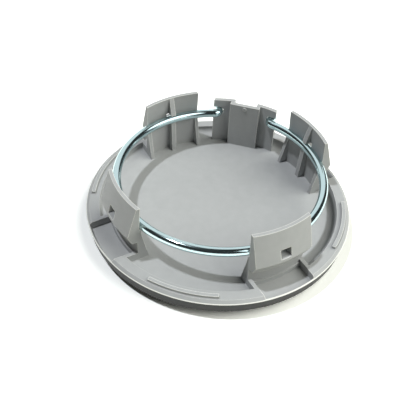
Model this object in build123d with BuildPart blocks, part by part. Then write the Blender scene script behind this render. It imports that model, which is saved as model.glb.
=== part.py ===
from build123d import *
import os
from math import asin, degrees, sqrt

# A wheel centre cap, lying on its front face with its back upwards: a moulded body and a sprung wire ring.
# Lengths are millimetres. Z rises from the front face, and the key leg stands on the +Y side.
os.makedirs("parts", exist_ok=True)

# Front face, outer wall, rim and recessed plate
cap_diameter = 58.0
face_diameter = 44.0
face_recess_diameter = 38.0
face_recess_depth = 0.8
skirt_rise = 2.2
wall_lean = 0.5
rim_height = 4.8
rim_bevel_width = 0.75
shoulder_rise = 0.65
shoulder_width = 2.9
plate_height = 3.7
recess_fillet = 1.2
root_depth = 0.5

# Arc ribs on the shoulder, one in each gap between two clip legs
arc_rib_inset = 1.05
arc_rib_width = 0.8
arc_rib_rise = 0.6
arc_rib_span = 30.0

# Clip legs, with heights taken from the rim
leg_count = 4
leg_inset = 2.95
leg_width = 13.1
leg_height = 12.9
leg_tip_wall = 0.75
leg_tip_lean = 0.25
shelf_depth = 0.3
neck_wall = 0.8
ledge_width = 0.35
ledge_rise = 0.1
barb_overhang = 2.05
barb_rise = 6.0
barb_foot_overhang = 1.15
barb_foot_rise = 3.9
cheek_wall = 0.8
rib_wall = 1.1
rib_foot_depth = 1.65
rib_head_depth = 1.15
wedge_depth = 1.5
window_width = 2.4

# Pockets in the shoulder, under the barbs, as deep as the plate
pocket_rim_wall = 0.25
pocket_wall_lean = 0.55

# Sprung wire ring and its seat in the legs
wire_diameter = 1.9
wire_rise = 7.6
wire_clearance = 0.1
bend_inner_radius = 0.1
tail_length = 0.8

# Key leg, which holds the two ends of the wire
key_width = 15.0
key_wall = 0.9
key_height = 10.6
key_fold_width = 5.2
key_fold_depth = 1.5
key_slot_inset = 1.25
key_slot_clearance = 0.15
key_pip_diameter = 0.9
key_pip_rise = 0.2
key_pip_drop = 0.75

# Radii and heights that follow from the sizes above
rim_radius = cap_diameter / 2
skirt_radius = rim_radius - wall_lean
face_radius = face_diameter / 2
face_recess_radius = face_recess_diameter / 2
skirt_width = skirt_radius - face_radius
skirt_curve = (skirt_width**2 + skirt_rise**2) / (2 * skirt_rise)
bevel_radius = rim_radius - rim_bevel_width
arc_rib_outer_radius = rim_radius - arc_rib_inset
recess_radius = rim_radius - shoulder_width
shoulder_height = rim_height + shoulder_rise
fillet_radius = recess_radius - recess_fillet
fillet_height = plate_height + recess_fillet
root_height = plate_height - root_depth
pocket_radius = rim_radius - pocket_rim_wall
pocket_floor_radius = pocket_radius - pocket_wall_lean

leg_inner_radius = recess_radius - leg_inset
neck_inner_radius = leg_inner_radius - shelf_depth
neck_outer_radius = neck_inner_radius + neck_wall
neck_middle_radius = neck_inner_radius + neck_wall / 2
foot_radius = neck_inner_radius - rib_foot_depth
ledge_radius = neck_outer_radius + ledge_width
barb_radius = neck_outer_radius + barb_overhang
barb_foot_radius = neck_outer_radius + barb_foot_overhang
tip_inner_radius = leg_inner_radius - leg_tip_lean
tip_outer_radius = tip_inner_radius + leg_tip_wall
leg_top = rim_height + leg_height
ledge_height = rim_height + ledge_rise
barb_height = rim_height + barb_rise
barb_foot_height = rim_height + barb_foot_rise
half_leg = leg_width / 2
pocket_width = leg_width - 2 * cheek_wall
leg_pitch = 360 / leg_count
key_angle = 90.0
first_leg_angle = key_angle - leg_pitch / 2

wire_radius = wire_diameter / 2
wire_height = rim_height + wire_rise
ring_radius = leg_inner_radius - wire_clearance - wire_radius
shelf_height = wire_height - wire_radius - wire_clearance
wedge_height = wire_height + wire_radius + wire_clearance
bend_radius = wire_radius + bend_inner_radius
bend_lead = degrees(asin(bend_radius / (ring_radius + bend_radius)))

key_outer_radius = leg_inner_radius + key_wall
key_top = rim_height + key_height
fold_face = leg_inner_radius - key_fold_depth
fold_side = key_fold_width / 2 + key_wall
key_slot_radius = wire_radius + key_slot_clearance
key_slot_angle = degrees(asin((key_width / 2 - key_slot_inset) / leg_inner_radius))


def reach(radius, offset):
    """The distance along a leg's centre line at which a circle lies, a given way off that line."""
    return sqrt(radius**2 - offset**2)


# One clip leg, on the +X side: a curved wall with its barb, two end cheeks, a notched rib and a window
with BuildPart() as clip_leg:
    with BuildSketch(Plane.XZ):
        with BuildLine():
            Polyline(
                (neck_inner_radius, root_height),
                (neck_inner_radius, shelf_height),
                (leg_inner_radius, shelf_height),
                (leg_inner_radius, wedge_height),
                (tip_inner_radius, leg_top),
                (tip_outer_radius, leg_top),
                (barb_radius, barb_height),
                (barb_foot_radius, barb_foot_height),
                (neck_outer_radius, barb_foot_height),
                (neck_outer_radius, ledge_height),
                (ledge_radius, ledge_height),
                (ledge_radius, root_height),
                close=True,
            )
        make_face()
    revolve(axis=Axis.Z)
    Box(
        2 * barb_radius,
        leg_width,
        2 * leg_top,
        align=(Align.MIN, Align.CENTER, Align.CENTER),
        mode=Mode.INTERSECT,
    )

    # End cheeks: gussets inside the wall, and low walls of the pocket outside it
    cheek_place = half_leg - cheek_wall / 2
    cheek_wall_x = reach(neck_middle_radius, cheek_place)
    cheek_end_x = reach(recess_radius + cheek_wall, cheek_place)
    for side in (-1, 1):
        with BuildSketch(Plane.XZ.offset(side * cheek_place)):
            with BuildLine():
                Polyline(
                    (reach(foot_radius, cheek_place), root_height),
                    (reach(foot_radius, cheek_place), plate_height),
                    (reach(neck_inner_radius, cheek_place), shelf_height),
                    (cheek_wall_x, shelf_height),
                    (cheek_wall_x, shoulder_height),
                    (cheek_end_x, shoulder_height),
                    (cheek_end_x, root_height),
                    close=True,
                )
            make_face()
        extrude(amount=cheek_wall / 2, both=True)

    # Middle rib: a foot below the wire and a wedge above it, with the wire's notch between them
    with BuildSketch(Plane.XZ):
        with BuildLine():
            Polyline(
                (foot_radius, root_height),
                (foot_radius, plate_height),
                (neck_inner_radius - rib_head_depth, shelf_height),
                (neck_middle_radius, shelf_height),
                (neck_middle_radius, root_height),
                close=True,
            )
        make_face()
        with BuildLine():
            Polyline(
                (leg_inner_radius - wedge_depth, wedge_height),
                (tip_inner_radius, leg_top),
                (tip_inner_radius + leg_tip_wall / 2, leg_top),
                (neck_outer_radius, wedge_height),
                close=True,
            )
        make_face()
    extrude(amount=rib_wall / 2, both=True)

    # Window behind the wire's notch
    with Locations((ring_radius, 0, wire_height)):
        Box(
            leg_width,
            window_width,
            wedge_height - shelf_height,
            align=(Align.MIN, Align.CENTER, Align.CENTER),
            mode=Mode.SUBTRACT,
        )

# The pocket outside one clip leg, on the +X side
with BuildPart() as leg_pocket:
    with BuildSketch(Plane.XZ):
        with BuildLine():
            Polyline(
                (neck_middle_radius, plate_height),
                (pocket_floor_radius, plate_height),
                (pocket_radius, rim_height),
                (pocket_radius, barb_height),
                (neck_middle_radius, barb_height),
                close=True,
            )
        make_face()
    revolve(axis=Axis.Z)
    Box(
        2 * rim_radius,
        pocket_width,
        2 * leg_top,
        align=(Align.MIN, Align.CENTER, Align.CENTER),
        mode=Mode.INTERSECT,
    )

# The key leg, on the +Y side: two curved panels with a set-in fold between them, and a slot for each wire end
with BuildPart() as key_leg:
    with BuildSketch(Plane.XY.offset(root_height)):
        Circle(key_outer_radius)
        Circle(leg_inner_radius, mode=Mode.SUBTRACT)
        with Locations((0, leg_inner_radius)):
            Rectangle(key_width, leg_inner_radius, mode=Mode.INTERSECT)
            Rectangle(key_fold_width, leg_inner_radius, mode=Mode.SUBTRACT)
        with Locations((0, fold_face)):
            Rectangle(2 * fold_side, key_wall, align=(Align.CENTER, Align.MIN))
        with Locations((-fold_side, fold_face), (fold_side - key_wall, fold_face)):
            Rectangle(key_wall, key_fold_depth + key_wall / 2, align=(Align.MIN, Align.MIN))
    extrude(amount=key_top - root_height)
    for side in (-1, 1):
        slot_plane = Plane(
            origin=Vector(0, leg_inner_radius, wire_height).rotate(Axis.Z, side * key_slot_angle),
            x_dir=Vector(-side, 0, 0).rotate(Axis.Z, side * key_slot_angle),
            z_dir=Vector(0, 1, 0).rotate(Axis.Z, side * key_slot_angle),
        )
        with BuildSketch(slot_plane):
            Circle(key_slot_radius)
            Rectangle(key_width, 2 * key_slot_radius, align=(Align.MIN, Align.CENTER))
        extrude(amount=2 * key_wall, both=True, mode=Mode.SUBTRACT)

    # Pip near the top of the fold
    with BuildSketch(Plane.XZ.offset(-fold_face)):
        with Locations((0, key_top - key_pip_drop)):
            Circle(key_pip_diameter / 2)
    extrude(amount=key_pip_rise)

# The moulded body: one turned form with pockets cut in its shoulder, and every leg and rib grown from it
with BuildPart() as cap_body:
    with BuildSketch(Plane.XZ):
        with BuildLine():
            Polyline(
                (0, face_recess_depth),
                (face_recess_radius, face_recess_depth),
                (face_recess_radius, 0),
                (face_radius, 0),
            )
            RadiusArc((face_radius, 0), (skirt_radius, skirt_rise), -skirt_curve)
            Polyline(
                (skirt_radius, skirt_rise),
                (rim_radius, rim_height),
                (bevel_radius, shoulder_height),
                (recess_radius, shoulder_height),
                (recess_radius, fillet_height),
            )
            RadiusArc((recess_radius, fillet_height), (fillet_radius, plate_height), recess_fillet)
            Polyline((fillet_radius, plate_height), (0, plate_height), (0, face_recess_depth))
        make_face()
    revolve(axis=Axis.Z)

    # Pockets
    with PolarLocations(0, leg_count, start_angle=first_leg_angle):
        add(leg_pocket.part, mode=Mode.SUBTRACT)

    # Arc ribs
    for gap in range(leg_count):
        rib_start = key_angle + gap * leg_pitch - arc_rib_span / 2
        with BuildSketch(Plane.XZ.rotated((0, 0, rib_start))):
            with Locations((arc_rib_outer_radius, shoulder_height + arc_rib_rise)):
                Rectangle(arc_rib_width, arc_rib_rise + root_depth, align=(Align.MAX, Align.MAX))
        revolve(axis=Axis.Z, revolution_arc=arc_rib_span)

    # Legs
    with PolarLocations(0, leg_count, start_angle=first_leg_angle):
        add(clip_leg.part)
    add(key_leg.part)

# The sprung ring: one turn of wire whose ends bend outwards through the key leg
with BuildPart() as retaining_ring:
    with BuildLine(Plane.XY.offset(wire_height)) as ring_line:
        end_angle = key_slot_angle + bend_lead
        turn = CenterArc((0, 0), ring_radius, key_angle + end_angle, 360 - 2 * end_angle)
        first_bend = JernArc(turn @ 0, turn % 0 * -1, bend_radius, key_angle - bend_lead)
        last_bend = JernArc(turn @ 1, turn % 1, bend_radius, bend_lead - key_angle)
        tail = key_outer_radius + tail_length - sqrt(ring_radius**2 + 2 * ring_radius * bend_radius)
        Line(first_bend @ 1, first_bend @ 1 + (first_bend % 1) * tail)
        Line(last_bend @ 1, last_bend @ 1 + (last_bend % 1) * tail)
    path = ring_line.wire()
    with BuildSketch(Plane(origin=path @ 0, z_dir=path % 0)):
        Circle(wire_radius)
    sweep(path=path)

cap_body.part.label = "cap_body"
retaining_ring.part.label = "retaining_ring"
export_step(cap_body.part, "parts/cap_body.step")
export_step(retaining_ring.part, "parts/retaining_ring.step")
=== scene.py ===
import math

import bmesh
import bpy
from mathutils import Euler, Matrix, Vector


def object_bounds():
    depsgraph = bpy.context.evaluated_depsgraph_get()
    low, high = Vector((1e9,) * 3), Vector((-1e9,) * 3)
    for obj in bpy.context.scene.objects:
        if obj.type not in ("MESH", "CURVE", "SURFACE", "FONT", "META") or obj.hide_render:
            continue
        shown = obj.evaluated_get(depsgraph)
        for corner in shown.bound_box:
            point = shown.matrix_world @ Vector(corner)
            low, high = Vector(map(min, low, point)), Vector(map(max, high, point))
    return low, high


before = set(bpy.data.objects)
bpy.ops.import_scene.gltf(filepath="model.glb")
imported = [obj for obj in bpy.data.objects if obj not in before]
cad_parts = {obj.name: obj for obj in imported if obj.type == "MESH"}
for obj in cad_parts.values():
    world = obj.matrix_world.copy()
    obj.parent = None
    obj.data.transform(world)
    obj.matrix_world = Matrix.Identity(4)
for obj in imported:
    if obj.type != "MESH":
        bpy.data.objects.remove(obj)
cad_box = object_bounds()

bl_info = {
    "name": "Wheel Centre Cap",
    "version": (1, 0, 0),
    "blender": (4, 5, 0),
    "location": "View3D > Sidebar > Wheel Cap",
    "description": "Finishes the moulded cap and its wire ring, and sets up the studio around them",
    "category": "Object",
}

MM = 0.001
BODY_NODE = "cap_body"
RING_NODE = "retaining_ring"

# Inputs of the Mix node, which have the same names for colours and for plain values
COLOUR_A = 6
COLOUR_B = 7
VALUE_A = 2
VALUE_B = 3

# The painted edge highlight begins, and is full, where the rounded normal turns this far from the plain
# one, as a cosine
EDGE_BEGINS = 0.985
EDGE_FULL = 0.88
# They also need open air around them, of which this share is looked for within so many edge widths
OPEN_BEGINS = 0.72
OPEN_FULL = 0.95
OPEN_REACH = 3
# How strong the painted highlight is on a crisp edge, and on the rounded edge of the shoulder
CRISP_CLEARNESS = 0.9
ROUNDED_CLEARNESS = 0.25

# Margins of the moulded cap's zones, so that each takes in its whole surface and none of the next
SHOULDER_RISE = 0.08 * MM
SHOULDER_ROUNDING = 0.45 * MM
# Width of the painted highlight along the rim's edge
RIM_HIGHLIGHT_WIDTH = 0.35 * MM
LACQUER_SHORT_OF_RIM = 0.06 * MM
WALL_MARGIN = 0.09 * MM
FRONT_MARGIN = 0.05 * MM

# Noise lies mostly between these two values
NOISE_LOW = 0.3
NOISE_HIGH = 0.7
# Depth of the grain and the die lines, and how much of the grain shows in plastic and through lacquer
RELIEF = 0.02 * MM
PLASTIC_GRAIN = 0.12
LACQUER_GRAIN = 0.02
# How far the roughness swings to each side in plastic, and between which multiples on the wire
SATIN_SWING = 0.06
WIRE_SMOOTHEST = 0.6
WIRE_ROUGHEST = 1.6
# Length of pattern for each radian round the wire ring, short so that the die lines run long
DIE_LINE_ADVANCE = 0.4 * MM
# Gloss of moulded plastic
PLASTIC_IOR = 1.5
PLASTIC_SPECULAR = 0.3

# The studio's walls fade into the ceiling between these multiples of their height
WALL_FADE_BEGINS = 0.7
WALL_FADE_ENDS = 1.6
# A white sheet fades out between these shares of its spread, measured from its middle
SHEET_FADE_BEGINS = 0.44
SHEET_FADE_ENDS = 0.56
SENSOR_WIDTH_MM = 36.0


def linear(hex_colour):
    """The linear RGB values of an sRGB hex colour."""
    channels = [int(hex_colour[i:i + 2], 16) / 255 for i in (1, 3, 5)]
    return tuple(c / 12.92 if c <= 0.04045 else ((c + 0.055) / 1.055) ** 2.4 for c in channels)


class CapBodyLook(bpy.types.PropertyGroup):
    """Colours and textures of the moulded cap."""

    plastic: bpy.props.FloatVectorProperty(
        name="Plastic",
        description="Colour of the grey moulded plastic",
        subtype="COLOR",
        min=0.0,
        max=1.0,
        default=linear("#acadad"),
    )
    plastic_deep: bpy.props.FloatVectorProperty(
        name="Flow marks",
        description="Slightly darker grey where the melt cooled first",
        subtype="COLOR",
        min=0.0,
        max=1.0,
        default=linear("#a0a1a1"),
    )
    roughness: bpy.props.FloatProperty(
        name="Roughness",
        description="How matt the moulded surface is",
        subtype="FACTOR",
        min=0.0,
        max=1.0,
        default=0.48,
    )
    grain: bpy.props.FloatProperty(
        name="Mould grain",
        description="Width of one grain of the eroded mould surface, coarser than real so that it shows",
        unit="LENGTH",
        min=0.02 * MM,
        default=0.22 * MM,
    )
    flow_width: bpy.props.FloatProperty(
        name="Flow mark width",
        description="Width of a flow mark across the plate",
        unit="LENGTH",
        min=0.1 * MM,
        default=2.2 * MM,
    )
    edge_radius: bpy.props.FloatProperty(
        name="Edge radius",
        description="Radius to which the mould rounds every edge",
        unit="LENGTH",
        min=0.0,
        default=0.14 * MM,
    )
    # Width of the painted highlight along each outer edge
    edge_width: bpy.props.FloatProperty(
        name="Edge width",
        description="Width of the pale line along each outer edge",
        unit="LENGTH",
        min=0.0,
        default=0.28 * MM,
    )
    # Painted highlight: a paler grey laid on the outer edges and along the rim, in place of the light that
    # they catch
    painted_edge_highlight: bpy.props.FloatVectorProperty(
        name="Edges",
        description="Paler grey of the outer edges, where light scatters in the thin plastic",
        subtype="COLOR",
        min=0.0,
        max=1.0,
        default=linear("#e8e8e2"),
    )
    lacquer: bpy.props.FloatVectorProperty(
        name="Lacquer",
        description="Dark grey of the lacquer on the front face and the outer wall",
        subtype="COLOR",
        min=0.0,
        max=1.0,
        default=linear("#151615"),
    )
    lacquer_roughness: bpy.props.FloatProperty(
        name="Lacquer roughness",
        description="How matt the lacquer is",
        subtype="FACTOR",
        min=0.0,
        max=1.0,
        default=0.5,
    )
    front_depth: bpy.props.FloatProperty(
        name="Front depth",
        description="Height below which every surface belongs to the lacquered front",
        unit="LENGTH",
        min=0.0,
        default=3.0 * MM,
    )
    rim_height: bpy.props.FloatProperty(
        name="Rim height",
        description="Height of the rim, at which the lacquer on the outer wall ends",
        unit="LENGTH",
        min=0.0,
        default=4.8 * MM,
    )
    # The pale line along the rim is a painted highlight
    rim_radius: bpy.props.FloatProperty(
        name="Rim radius",
        description="Radius of the rim, along which a pale line runs",
        unit="LENGTH",
        min=0.0,
        default=29.0 * MM,
    )
    shoulder_height: bpy.props.FloatProperty(
        name="Shoulder height",
        description="Height of the shoulder between the rim and the plate",
        unit="LENGTH",
        min=0.0,
        default=5.45 * MM,
    )
    shoulder_radius: bpy.props.FloatProperty(
        name="Shoulder radius",
        description="Radius of the shoulder's inner edge, which is rounder than the others",
        unit="LENGTH",
        min=0.0,
        default=26.1 * MM,
    )
    wall_slope: bpy.props.FloatProperty(
        name="Wall slope",
        description="How far the outer wall leans out for each unit that it rises",
        subtype="FACTOR",
        min=0.0,
        max=1.0,
        default=0.5 / 2.6,
    )


class RetainingRingLook(bpy.types.PropertyGroup):
    """Colour and texture of the sprung wire."""

    zinc: bpy.props.FloatVectorProperty(
        name="Zinc",
        description="Colour of the blue-bright zinc plate",
        subtype="COLOR",
        min=0.0,
        max=1.0,
        default=linear("#c4dcdf"),
    )
    roughness: bpy.props.FloatProperty(
        name="Roughness",
        description="How dull the plated wire is",
        subtype="FACTOR",
        min=0.0,
        max=1.0,
        default=0.09,
    )
    die_line: bpy.props.FloatProperty(
        name="Die line width",
        description="Width of one line from the drawing die, coarser than real so that it shows",
        unit="LENGTH",
        min=0.01 * MM,
        default=0.3 * MM,
    )
    die_line_depth: bpy.props.FloatProperty(
        name="Die line depth",
        description="How strongly the die lines bend what the wire mirrors",
        subtype="FACTOR",
        min=0.0,
        max=1.0,
        default=0.6,
    )
    smoothing: bpy.props.FloatProperty(
        name="Smoothing",
        description="Length over which the wire's facets are evened out",
        unit="LENGTH",
        min=0.0,
        default=0.3 * MM,
    )


class StudioLook(bpy.types.PropertyGroup):
    """Floor, lamps, the white sheets that gloss mirrors, and camera."""

    floor_size: bpy.props.FloatProperty(
        name="Floor size",
        description="Length of each side of the floor",
        unit="LENGTH",
        min=0.1,
        default=12.0,
    )
    floor: bpy.props.FloatVectorProperty(
        name="Floor",
        description="Colour of the white card floor",
        subtype="COLOR",
        min=0.0,
        max=1.0,
        default=linear("#ffffff"),
    )
    floor_lift: bpy.props.FloatVectorProperty(
        name="Floor lift",
        description="What the camera sees on top of the floor's colour, as in a photo exposed for the cap",
        subtype="COLOR",
        min=0.0,
        max=1.0,
        default=linear("#8c8c82"),
    )
    floor_bounce: bpy.props.FloatVectorProperty(
        name="Floor bounce",
        description="How much light the floor throws back up at the cap",
        subtype="COLOR",
        min=0.0,
        max=1.0,
        default=linear("#bebdb0"),
    )
    lamp_azimuth: bpy.props.FloatProperty(
        name="Lamp azimuth",
        description="Direction of the small lamp, from +X towards +Y",
        subtype="ANGLE",
        default=math.radians(203.0),
    )
    lamp_elevation: bpy.props.FloatProperty(
        name="Lamp elevation",
        description="Height of the small lamp above the floor",
        subtype="ANGLE",
        default=math.radians(70.0),
    )
    lamp_spread: bpy.props.FloatProperty(
        name="Lamp spread",
        description="Angle that the small lamp fills, which softens its shadows",
        subtype="ANGLE",
        default=math.radians(3.0),
    )
    lamp_share: bpy.props.FloatProperty(
        name="Lamp share",
        description="Part of the floor's light that comes from the small lamp",
        subtype="FACTOR",
        min=0.0,
        max=2.0,
        default=0.62,
    )
    lamp_colour: bpy.props.FloatVectorProperty(
        name="Lamp colour",
        description="Colour of the small lamp",
        subtype="COLOR",
        min=0.0,
        max=1.0,
        default=linear("#f6faff"),
    )
    window_azimuth: bpy.props.FloatProperty(
        name="Window azimuth",
        description="Direction of the broad soft light, from +X towards +Y",
        subtype="ANGLE",
        default=math.radians(9.0),
    )
    window_elevation: bpy.props.FloatProperty(
        name="Window elevation",
        description="Height of the broad soft light above the floor",
        subtype="ANGLE",
        default=math.radians(42.0),
    )
    window_spread: bpy.props.FloatProperty(
        name="Window spread",
        description="Angle that the broad soft light fills",
        subtype="ANGLE",
        default=math.radians(66.0),
    )
    window_share: bpy.props.FloatProperty(
        name="Window share",
        description="Part of the floor's light that comes from the broad soft light",
        subtype="FACTOR",
        min=0.0,
        max=2.0,
        default=0.73,
    )
    window_colour: bpy.props.FloatVectorProperty(
        name="Window colour",
        description="Colour of the broad soft light",
        subtype="COLOR",
        min=0.0,
        max=1.0,
        default=linear("#fdfff8"),
    )
    ceiling: bpy.props.FloatProperty(
        name="Ceiling",
        description="Brightness of the studio overhead",
        subtype="FACTOR",
        min=0.0,
        max=1.0,
        default=0.04,
    )
    wall_elevation: bpy.props.FloatProperty(
        name="Wall elevation",
        description="Height up to which the studio's white walls reach",
        subtype="ANGLE",
        default=math.radians(3.0),
    )
    backdrop_azimuth: bpy.props.FloatProperty(
        name="Backdrop azimuth",
        description="Direction of the white backdrop that the wire mirrors, from +X towards +Y",
        subtype="ANGLE",
        default=math.radians(118.0),
    )
    backdrop_elevation: bpy.props.FloatProperty(
        name="Backdrop elevation",
        description="Height of the backdrop's middle above the floor",
        subtype="ANGLE",
        default=math.radians(35.0),
    )
    backdrop_spread: bpy.props.FloatProperty(
        name="Backdrop spread",
        description="Angle that the backdrop fills",
        subtype="ANGLE",
        default=math.radians(78.0),
    )
    panel_azimuth: bpy.props.FloatProperty(
        name="Panel azimuth",
        description="Direction of the small white panel that the wire mirrors, from +X towards +Y",
        subtype="ANGLE",
        default=math.radians(-15.0),
    )
    panel_elevation: bpy.props.FloatProperty(
        name="Panel elevation",
        description="Height of the panel's middle above the floor",
        subtype="ANGLE",
        default=math.radians(38.0),
    )
    panel_spread: bpy.props.FloatProperty(
        name="Panel spread",
        description="Angle that the panel fills",
        subtype="ANGLE",
        default=math.radians(54.0),
    )
    panel_level: bpy.props.FloatProperty(
        name="Panel level",
        description="Brightness of the panel, where the backdrop's is 1",
        subtype="FACTOR",
        min=0.0,
        max=4.0,
        default=2.2,
    )
    camera_place: bpy.props.FloatVectorProperty(
        name="Camera place",
        description="Where the camera stands",
        subtype="XYZ",
        unit="LENGTH",
        default=(0.02226934, -0.10623454, 0.10824944),
    )
    camera_turn: bpy.props.FloatVectorProperty(
        name="Camera turn",
        description="Which way the camera looks",
        subtype="EULER",
        default=(math.radians(45.63145), math.radians(-2.58933), math.radians(15.53590)),
    )
    lens: bpy.props.FloatProperty(
        name="Lens",
        description="Focal length in millimetres, for a sensor 36 mm wide",
        unit="CAMERA",
        min=10.0,
        max=300.0,
        default=58.429,
    )


def add_node(tree, kind, settings=None, links=None):
    """Adds one node with its settings and links.

    An input takes a plain value, or is linked to a socket or to the first output of a node.
    """
    node = tree.nodes.new(kind)
    for name, value in (settings or {}).items():
        setattr(node, name, value)
    for name, value in (links or {}).items():
        socket = node.inputs[name]
        if isinstance(value, bpy.types.Node):
            value = next(output for output in value.outputs if output.enabled)
        if isinstance(value, bpy.types.NodeSocket):
            tree.links.new(value, socket)
        else:
            socket.default_value = value
    return node


def new_material(name):
    """An empty node material and its tree."""
    material = bpy.data.materials.new(name)
    material.use_nodes = True
    material.node_tree.nodes.clear()
    return material, material.node_tree


def axis_radius(tree, axes):
    """The distance from the cap's axis."""
    flat = add_node(tree, "ShaderNodeCombineXYZ", None, {"X": axes.outputs["X"], "Y": axes.outputs["Y"]})
    return add_node(tree, "ShaderNodeVectorMath", {"operation": "LENGTH"}, {0: flat})


def edge_highlight_mask(tree, radius):
    """1 on outer edges, where rounded and plain normals part in the open, and 0 elsewhere: where the
    painted edge highlight goes.
    """
    bevel = add_node(tree, "ShaderNodeBevel", {"samples": 8}, {"Radius": radius})
    normal = add_node(tree, "ShaderNodeNewGeometry").outputs["Normal"]
    turn = add_node(tree, "ShaderNodeVectorMath", {"operation": "DOT_PRODUCT"}, {0: bevel, 1: normal})
    near = add_node(
        tree,
        "ShaderNodeAmbientOcclusion",
        {"samples": 4, "only_local": True},
        {"Distance": OPEN_REACH * radius},
    )
    edge = add_node(
        tree,
        "ShaderNodeMapRange",
        None,
        {"Value": turn, "From Min": EDGE_BEGINS, "From Max": EDGE_FULL},
    )
    open_side = add_node(
        tree,
        "ShaderNodeMapRange",
        None,
        {"Value": near.outputs["AO"], "From Min": OPEN_BEGINS, "From Max": OPEN_FULL},
    )
    return add_node(tree, "ShaderNodeMath", {"operation": "MULTIPLY"}, {0: edge, 1: open_side})


def moulded_abs(look):
    """ABS moulded in a spark-eroded tool.

    It gives the eye an even satin grey, with faint flow marks, and a painted highlight along its outer
    edges and the rim.
    The front face and the outer wall carry a smooth dark lacquer, which ends at the rim.
    """
    material, tree = new_material("moulded_grey_abs_satin_lacquered_front")
    place = add_node(tree, "ShaderNodeTexCoord").outputs["Object"]
    axes = add_node(tree, "ShaderNodeSeparateXYZ", None, {"Vector": place})
    flow = add_node(
        tree,
        "ShaderNodeTexNoise",
        {"noise_dimensions": "3D"},
        {"Vector": place, "Scale": 1 / look.flow_width, "Detail": 3.0, "Roughness": 0.55},
    )
    melt = add_node(
        tree,
        "ShaderNodeMix",
        {"data_type": "RGBA"},
        {"Factor": flow, COLOUR_A: (*look.plastic_deep, 1.0), COLOUR_B: (*look.plastic, 1.0)},
    )
    # Where each surface lies: its height, its radius, and the radius at which a wall leaning out
    # through it would stand on the floor
    height = axes.outputs["Z"]
    radius = axis_radius(tree, axes)
    wall_foot = look.rim_radius - look.wall_slope * look.rim_height
    foot = add_node(
        tree,
        "ShaderNodeMath",
        {"operation": "MULTIPLY_ADD"},
        {0: height, 1: -look.wall_slope, 2: radius},
    )
    limits = {
        "below shoulder": (height, "LESS_THAN", look.shoulder_height + SHOULDER_RISE),
        "inside shoulder": (radius, "LESS_THAN", look.shoulder_radius + SHOULDER_ROUNDING),
        "up to rim": (height, "LESS_THAN", look.rim_height + look.edge_width / 2),
        "out at rim": (radius, "GREATER_THAN", look.rim_radius - RIM_HIGHLIGHT_WIDTH),
        "below rim": (height, "LESS_THAN", look.rim_height - LACQUER_SHORT_OF_RIM),
        "out at wall": (foot, "GREATER_THAN", wall_foot - WALL_MARGIN),
        "at front": (height, "LESS_THAN", look.front_depth + FRONT_MARGIN),
    }
    zone = {
        name: add_node(tree, "ShaderNodeMath", {"operation": test}, {0: value, 1: limit})
        for name, (value, test, limit) in limits.items()
    }
    # Painted highlight on the outer edges and as a thin line along the rim, fainter on the rounded edge of
    # the shoulder
    rounded = add_node(
        tree,
        "ShaderNodeMath",
        {"operation": "MULTIPLY"},
        {0: zone["below shoulder"], 1: zone["inside shoulder"]},
    )
    clearness = add_node(
        tree,
        "ShaderNodeMapRange",
        None,
        {"Value": rounded, "To Min": CRISP_CLEARNESS, "To Max": ROUNDED_CLEARNESS},
    )
    edge_highlights = edge_highlight_mask(tree, look.edge_width)
    crisp = add_node(tree, "ShaderNodeMath", {"operation": "MULTIPLY"}, {0: edge_highlights, 1: clearness})
    # The thin painted highlight along the rim
    rim = add_node(
        tree,
        "ShaderNodeMath",
        {"operation": "MULTIPLY"},
        {0: zone["up to rim"], 1: zone["out at rim"]},
    )
    pale = add_node(tree, "ShaderNodeMath", {"operation": "MAXIMUM"}, {0: crisp, 1: rim})
    plain = add_node(
        tree,
        "ShaderNodeMix",
        {"data_type": "RGBA"},
        {"Factor": pale, COLOUR_A: melt, COLOUR_B: (*look.painted_edge_highlight, 1.0)},
    )
    # Lacquer on the front face, and up the leaning outer wall as far as the rim
    wall = add_node(
        tree,
        "ShaderNodeMath",
        {"operation": "MULTIPLY"},
        {0: zone["out at wall"], 1: zone["below rim"]},
    )
    lacquer = add_node(tree, "ShaderNodeMath", {"operation": "MAXIMUM"}, {0: zone["at front"], 1: wall})
    tone = add_node(
        tree,
        "ShaderNodeMix",
        {"data_type": "RGBA"},
        {"Factor": lacquer, COLOUR_A: plain, COLOUR_B: (*look.lacquer, 1.0)},
    )
    # Grain of the mould, which the lacquer fills
    grain = add_node(
        tree,
        "ShaderNodeTexNoise",
        {"noise_dimensions": "3D"},
        {"Vector": place, "Scale": 1 / look.grain, "Detail": 2.0, "Roughness": 0.5},
    )
    satin = add_node(
        tree,
        "ShaderNodeMapRange",
        None,
        {
            "Value": grain,
            "From Min": NOISE_LOW,
            "From Max": NOISE_HIGH,
            "To Min": look.roughness - SATIN_SWING,
            "To Max": look.roughness + SATIN_SWING,
        },
    )
    gloss = add_node(
        tree,
        "ShaderNodeMix",
        {"data_type": "FLOAT"},
        {"Factor": lacquer, VALUE_A: satin, VALUE_B: look.lacquer_roughness},
    )
    strength = add_node(
        tree,
        "ShaderNodeMapRange",
        None,
        {"Value": lacquer, "To Min": PLASTIC_GRAIN, "To Max": LACQUER_GRAIN},
    )
    edge = add_node(tree, "ShaderNodeBevel", {"samples": 6}, {"Radius": look.edge_radius})
    bump = add_node(
        tree,
        "ShaderNodeBump",
        None,
        {"Strength": strength, "Distance": RELIEF, "Height": grain, "Normal": edge},
    )
    shader = add_node(
        tree,
        "ShaderNodeBsdfPrincipled",
        None,
        {
            "Base Color": tone,
            "Roughness": gloss,
            "IOR": PLASTIC_IOR,
            "Specular IOR Level": PLASTIC_SPECULAR,
            "Normal": bump,
        },
    )
    add_node(tree, "ShaderNodeOutputMaterial", None, {"Surface": shader})
    return material


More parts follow.
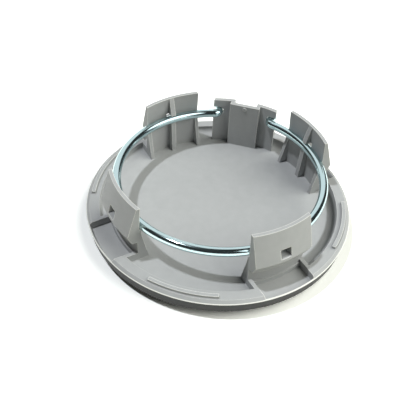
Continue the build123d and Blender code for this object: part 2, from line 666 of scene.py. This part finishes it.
def zinc_plated_wire(look):
    """Drawn steel wire with blue-bright zinc.

    It gives the eye a mirror along the wire, which the lines of the drawing die streak.
    """
    material, tree = new_material("drawn_steel_wire_bright_zinc")
    place = add_node(tree, "ShaderNodeTexCoord").outputs["Object"]
    axes = add_node(tree, "ShaderNodeSeparateXYZ", None, {"Vector": place})
    turn = add_node(
        tree,
        "ShaderNodeMath",
        {"operation": "ARCTAN2"},
        {0: axes.outputs["Y"], 1: axes.outputs["X"]},
    )
    along = add_node(tree, "ShaderNodeMath", {"operation": "MULTIPLY"}, {0: turn, 1: DIE_LINE_ADVANCE})
    section = add_node(
        tree,
        "ShaderNodeCombineXYZ",
        None,
        {"X": axis_radius(tree, axes), "Y": along, "Z": axes.outputs["Z"]},
    )
    lines = add_node(
        tree,
        "ShaderNodeTexNoise",
        {"noise_dimensions": "3D"},
        {"Vector": section, "Scale": 1 / look.die_line, "Detail": 3.0, "Roughness": 0.6},
    )
    gloss = add_node(
        tree,
        "ShaderNodeMapRange",
        None,
        {
            "Value": lines,
            "From Min": NOISE_LOW,
            "From Max": NOISE_HIGH,
            "To Min": look.roughness * WIRE_SMOOTHEST,
            "To Max": look.roughness * WIRE_ROUGHEST,
        },
    )
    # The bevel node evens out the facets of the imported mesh, which a mirror would show
    round_wire = add_node(tree, "ShaderNodeBevel", {"samples": 12}, {"Radius": look.smoothing})
    bump = add_node(
        tree,
        "ShaderNodeBump",
        None,
        {"Strength": look.die_line_depth, "Distance": RELIEF, "Height": lines, "Normal": round_wire},
    )
    shader = add_node(
        tree,
        "ShaderNodeBsdfPrincipled",
        None,
        {"Base Color": (*look.zinc, 1.0), "Metallic": 1.0, "Roughness": gloss, "Normal": bump},
    )
    add_node(tree, "ShaderNodeOutputMaterial", None, {"Surface": shader})
    return material


def dress(node_name, material):
    """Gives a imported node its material."""
    if node_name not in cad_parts:
        raise RuntimeError(f"the frame has no node {node_name}")
    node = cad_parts[node_name]
    if not node.material_slots:
        node.data.materials.append(material)
    for slot in node.material_slots:
        slot.material = material


class WHEELCAP_OT_finish_body(bpy.types.Operator):
    """Gives the moulded cap its satin plastic and dark lacquer"""

    bl_idname = "wheelcap.finish_body"
    bl_label = "Finish Moulded Cap"

    def execute(self, context):
        dress(BODY_NODE, moulded_abs(context.scene.cap_body_look))
        return {"FINISHED"}


class WHEELCAP_OT_finish_ring(bpy.types.Operator):
    """Gives the wire ring its zinc plate"""

    bl_idname = "wheelcap.finish_ring"
    bl_label = "Finish Wire Ring"

    def execute(self, context):
        dress(RING_NODE, zinc_plated_wire(context.scene.retaining_ring_look))
        return {"FINISHED"}


def seen_directly(tree):
    """1 for what the camera sees, straight or in gloss and glass, and 0 for light that is scattered on."""
    rays = add_node(tree, "ShaderNodeLightPath")
    mirrored = add_node(
        tree,
        "ShaderNodeMath",
        {"operation": "MAXIMUM"},
        {0: rays.outputs["Is Glossy Ray"], 1: rays.outputs["Is Transmission Ray"]},
    )
    return add_node(
        tree,
        "ShaderNodeMath",
        {"operation": "MAXIMUM"},
        {0: rays.outputs["Is Camera Ray"], 1: mirrored},
    )


def card_floor(look):
    """White card: quite matt, and overexposed to the eye, so that only the cap's shadow shows on it."""
    material, tree = new_material("white_card_floor")
    white = add_node(tree, "ShaderNodeBsdfDiffuse", None, {"Color": (*look.floor, 1.0)})
    lift = add_node(tree, "ShaderNodeBsdfDiffuse", None, {"Color": (*look.floor_lift, 1.0)})
    bright = add_node(tree, "ShaderNodeAddShader", None, {0: white, 1: lift})
    bounce = add_node(tree, "ShaderNodeBsdfDiffuse", None, {"Color": (*look.floor_bounce, 1.0)})
    shader = add_node(tree, "ShaderNodeMixShader", None, {0: seen_directly(tree), 1: bounce, 2: bright})
    add_node(tree, "ShaderNodeOutputMaterial", None, {"Surface": shader})
    return material


def way_to(azimuth, elevation):
    """The direction of a place far off, from its azimuth and elevation."""
    level = math.cos(elevation)
    return Vector((math.cos(azimuth) * level, math.sin(azimuth) * level, math.sin(elevation)))


def light_studio(look):
    """A dim studio, in which gloss also mirrors low white walls, a backdrop and a bright panel."""
    world = bpy.data.worlds.new("studio")
    world.use_nodes = True
    tree = world.node_tree
    tree.nodes.clear()
    way = add_node(tree, "ShaderNodeTexCoord").outputs["Generated"]
    height = add_node(tree, "ShaderNodeSeparateXYZ", None, {"Vector": way}).outputs["Z"]
    top = math.sin(look.wall_elevation)
    pale = add_node(
        tree,
        "ShaderNodeMapRange",
        {"interpolation_type": "SMOOTHSTEP"},
        {
            "Value": height,
            "From Min": top * WALL_FADE_BEGINS,
            "From Max": top * WALL_FADE_ENDS,
            "To Min": 1.0,
            "To Max": look.ceiling,
        },
    )
    sheets = (
        (look.backdrop_azimuth, look.backdrop_elevation, look.backdrop_spread, 1.0),
        (look.panel_azimuth, look.panel_elevation, look.panel_spread, look.panel_level),
    )
    for azimuth, elevation, spread, brightness in sheets:
        facing = add_node(
            tree,
            "ShaderNodeVectorMath",
            {"operation": "DOT_PRODUCT"},
            {0: way, 1: way_to(azimuth, elevation)},
        )
        sheet = add_node(
            tree,
            "ShaderNodeMapRange",
            {"interpolation_type": "SMOOTHSTEP"},
            {
                "Value": facing,
                "From Min": math.cos(spread * SHEET_FADE_ENDS),
                "From Max": math.cos(spread * SHEET_FADE_BEGINS),
                "To Min": look.ceiling,
                "To Max": brightness,
            },
        )
        pale = add_node(tree, "ShaderNodeMath", {"operation": "MAXIMUM"}, {0: pale, 1: sheet})
    level = add_node(
        tree,
        "ShaderNodeMix",
        {"data_type": "FLOAT"},
        {"Factor": seen_directly(tree), VALUE_A: look.ceiling, VALUE_B: pale},
    )
    sky = add_node(tree, "ShaderNodeBackground", None, {"Color": (1.0, 1.0, 1.0, 1.0), "Strength": level})
    add_node(tree, "ShaderNodeOutputWorld", None, {"Surface": sky})
    bpy.context.scene.world = world


def add_sun(name, azimuth, elevation, spread, share, colour):
    """A lamp at a long distance, whose strength follows from its share of the light on the floor."""
    lamp = bpy.data.lights.new(name, "SUN")
    lamp.angle = spread
    lamp.color = colour
    lamp.energy = share * math.pi / math.sin(elevation)
    way = way_to(azimuth, elevation)
    holder = bpy.data.objects.new(name, lamp)
    holder.rotation_euler = way.to_track_quat("Z", "Y").to_euler()
    holder.location = way
    bpy.context.scene.collection.objects.link(holder)
    return holder


class WHEELCAP_OT_build_stage(bpy.types.Operator):
    """Lays the floor, lights the studio and sets up the camera"""

    bl_idname = "wheelcap.build_stage"
    bl_label = "Build Stage"

    def execute(self, context):
        look = context.scene.studio_look
        mesh = bpy.data.meshes.new("floor")
        shape = bmesh.new()
        bmesh.ops.create_grid(shape, x_segments=1, y_segments=1, size=look.floor_size / 2)
        bmesh.ops.translate(shape, verts=shape.verts, vec=(0.0, 0.0, cad_box[0][2]))
        shape.to_mesh(mesh)
        shape.free()
        floor = bpy.data.objects.new("floor", mesh)
        floor.data.materials.append(card_floor(look))
        context.scene.collection.objects.link(floor)

        light_studio(look)
        add_sun(
            "small_lamp",
            look.lamp_azimuth,
            look.lamp_elevation,
            look.lamp_spread,
            look.lamp_share,
            look.lamp_colour,
        )
        window = add_sun(
            "window",
            look.window_azimuth,
            look.window_elevation,
            look.window_spread,
            look.window_share,
            look.window_colour,
        )
        # Gloss mirrors the walls, the backdrop and the panel, and not the round disc of this broad lamp
        window.visible_glossy = False

        camera = bpy.data.cameras.new("camera")
        camera.sensor_width = SENSOR_WIDTH_MM
        camera.lens = look.lens
        camera.clip_start = 0.005
        camera.clip_end = 100.0
        holder = bpy.data.objects.new("camera", camera)
        holder.location = look.camera_place
        holder.rotation_euler = Euler(look.camera_turn)
        context.scene.collection.objects.link(holder)
        context.scene.camera = holder
        context.scene.view_settings.view_transform = "Standard"
        return {"FINISHED"}


class WHEELCAP_PT_sidebar(bpy.types.Panel):
    """Lists the steps that finish the cap"""

    bl_idname = "WHEELCAP_PT_sidebar"
    bl_label = "Wheel Cap"
    bl_space_type = "VIEW_3D"
    bl_region_type = "UI"
    bl_category = "Wheel Cap"

    def draw(self, context):
        scene = context.scene
        steps = (
            (scene.cap_body_look, WHEELCAP_OT_finish_body),
            (scene.retaining_ring_look, WHEELCAP_OT_finish_ring),
            (scene.studio_look, WHEELCAP_OT_build_stage),
        )
        for look, step in steps:
            box = self.layout.box()
            for name in look.__annotations__:
                box.prop(look, name)
            box.operator(step.bl_idname)


CLASSES = (
    CapBodyLook,
    RetainingRingLook,
    StudioLook,
    WHEELCAP_OT_finish_body,
    WHEELCAP_OT_finish_ring,
    WHEELCAP_OT_build_stage,
    WHEELCAP_PT_sidebar,
)


def register():
    for cls in CLASSES:
        bpy.utils.register_class(cls)
    bpy.types.Scene.cap_body_look = bpy.props.PointerProperty(type=CapBodyLook)
    bpy.types.Scene.retaining_ring_look = bpy.props.PointerProperty(type=RetainingRingLook)
    bpy.types.Scene.studio_look = bpy.props.PointerProperty(type=StudioLook)


def unregister():
    del bpy.types.Scene.studio_look
    del bpy.types.Scene.retaining_ring_look
    del bpy.types.Scene.cap_body_look
    for cls in reversed(CLASSES):
        bpy.utils.unregister_class(cls)


def main():
    register()
    bpy.ops.wheelcap.finish_body()
    bpy.ops.wheelcap.finish_ring()
    bpy.ops.wheelcap.build_stage()


if __name__ == "__main__":
    main()
